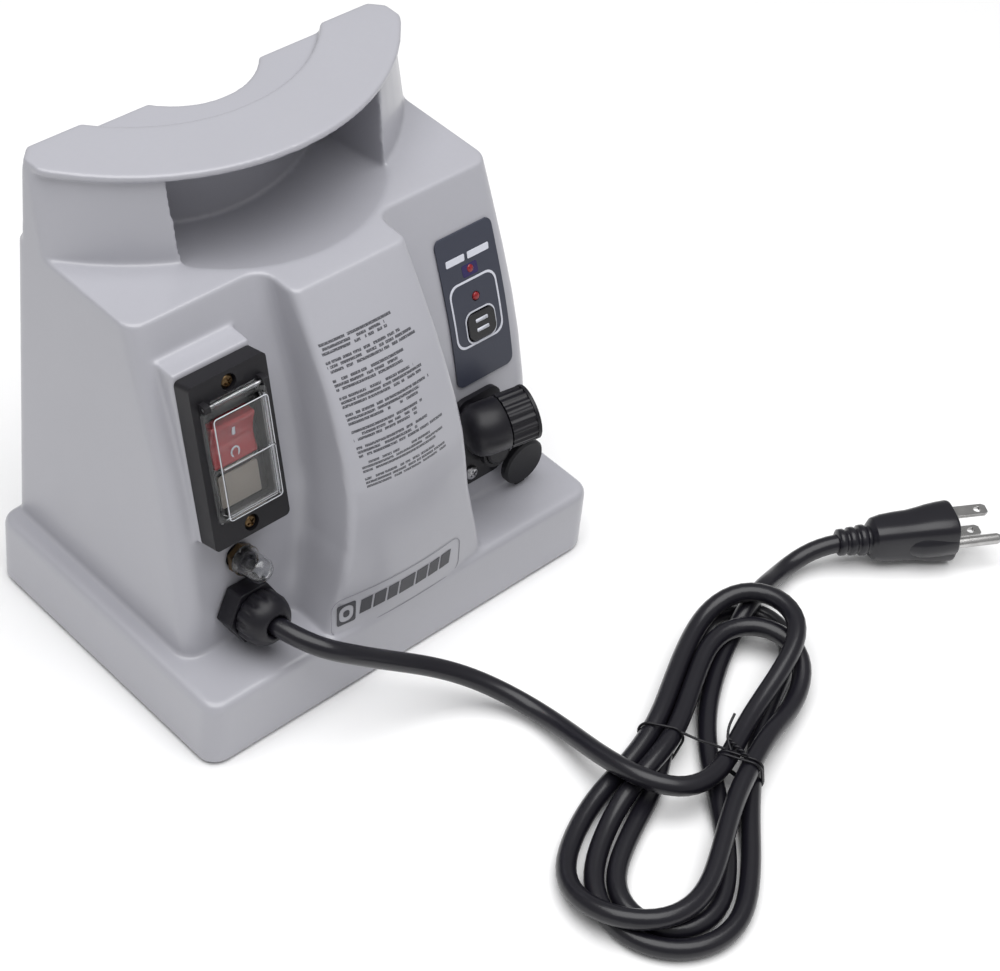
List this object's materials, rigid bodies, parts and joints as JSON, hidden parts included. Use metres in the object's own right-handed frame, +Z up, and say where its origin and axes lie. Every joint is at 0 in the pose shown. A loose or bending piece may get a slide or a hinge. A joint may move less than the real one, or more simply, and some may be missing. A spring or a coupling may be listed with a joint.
{
  "type": "power supply and control unit",
  "caption": "Upright grey moulded power supply with crescent carrying handle, covered rocker switch, button panel, angled outlet and coiled mains cord",
  "frame": {"origin": "centre of the base footprint, on the surface the feet stand on", "axes": "+X to the right of the front face, +Y towards the back, +Z up"},
  "size_m": [0.3427, 0.3239, 0.2064],
  "materials": {
    "housing_plastic": "moulded light grey plastic, satin gloss",
    "black_plastic": "black moulded plastic",
    "gloss_black_plastic": "smooth black plastic",
    "cord_vinyl": "semi-gloss black vinyl",
    "rubber": "soft black rubber",
    "red_plastic": "translucent red plastic",
    "led_lens": "red lens",
    "clear_plastic": "clear polycarbonate and vinyl",
    "pale_plastic": "pale grey plastic",
    "overlay_film": "printed dark blue-grey film",
    "board_laminate": "green glass-fibre board",
    "steel": "bright steel",
    "plated_brass": "nickel-plated and plain brass",
    "core_iron": "stacked iron laminations",
    "coil_tape": "copper winding under yellow tape"
  },
  "bodies": {
    "unit": {"upper_housing": "housing_plastic", "bottom_plate": "black_plastic", "foot_front_left": "rubber", "foot_front_right": "rubber", "foot_rear_left": "rubber", "foot_rear_right": "rubber", "gland_seal": "rubber", "cap_strap": "rubber", "base_screw_front_left": "steel", "base_screw_front_right": "steel", "base_screw_rear_left": "steel", "base_screw_rear_right": "steel", "cover_pin": "steel", "bezel_screw_top": "steel", "bezel_screw_bottom": "steel", "socket_screw_left": "steel", "socket_screw_right": "steel", "transformer_bracket": "steel", "capacitor": "steel", "plug_ground_pin": "steel", "switch_bezel": "black_plastic", "breaker_body": "black_plastic", "gland_body": "black_plastic", "gland_nut": "black_plastic", "gland_locknut": "black_plastic", "socket_body": "black_plastic", "cord_tie": "black_plastic", "switch_body": "gloss_black_plastic", "cord_lead": "cord_vinyl", "cord_hank": "cord_vinyl", "cord_tail": "cord_vinyl", "plug_body": "cord_vinyl", "led_power": "led_lens", "led_cycle": "led_lens", "breaker_boot": "clear_plastic", "status_plate": "pale_plastic", "terminal_block": "pale_plastic", "breaker_nut": "plated_brass", "socket_pin_a": "plated_brass", "socket_pin_b": "plated_brass", "socket_pin_c": "plated_brass", "plug_blade_upper": "plated_brass", "plug_blade_lower": "plated_brass", "control_overlay": "overlay_film", "control_board": "board_laminate", "transformer_core": "core_iron", "transformer_coil": "coil_tape"},
    "rocker": {"rocker": "red_plastic"},
    "cover": {"switch_cover": "clear_plastic"},
    "reset_button": {"breaker_button": "black_plastic"},
    "panel_button": {"cycle_button": "black_plastic"},
    "collar": {"socket_collar": "black_plastic"},
    "cap": {"socket_cap": "rubber"}
  },
  "joints": [
    {"name": "rocker_tilt", "type": "hinge", "parent": "unit", "child": "rocker", "pos_m": [-0.0645, -0.02791, 0.12509], "axis": [1, 0, 0], "range_deg": [-14, 0]},
    {"name": "cover_hinge", "type": "hinge", "parent": "unit", "child": "cover", "pos_m": [-0.0645, -0.03214, 0.14755], "axis": [-1, 0, 0], "range_deg": [0, 100]},
    {"name": "reset_button_slide", "type": "slide", "parent": "unit", "child": "reset_button", "axis": [0, -0.9781, 0.2079], "range_m": [0, 0.0025]},
    {"name": "panel_button_slide", "type": "slide", "parent": "unit", "child": "panel_button", "axis": [0, -0.9367, 0.3502], "range_m": [-0.001, 0], "stiffness_N_per_m": 600},
    {"name": "collar_turn", "type": "hinge", "parent": "unit", "child": "collar", "pos_m": [0.06635, -0.05212, 0.07998], "axis": [0.9498, -0.2799, 0.14], "range_deg": [0, 45]},
    {"name": "cap_swing", "type": "hinge", "parent": "unit", "child": "cap", "pos_m": [0.0785, -0.0475, 0.0578], "axis": [1, 0, 0], "range_deg": [-65, 0]}
  ]
}
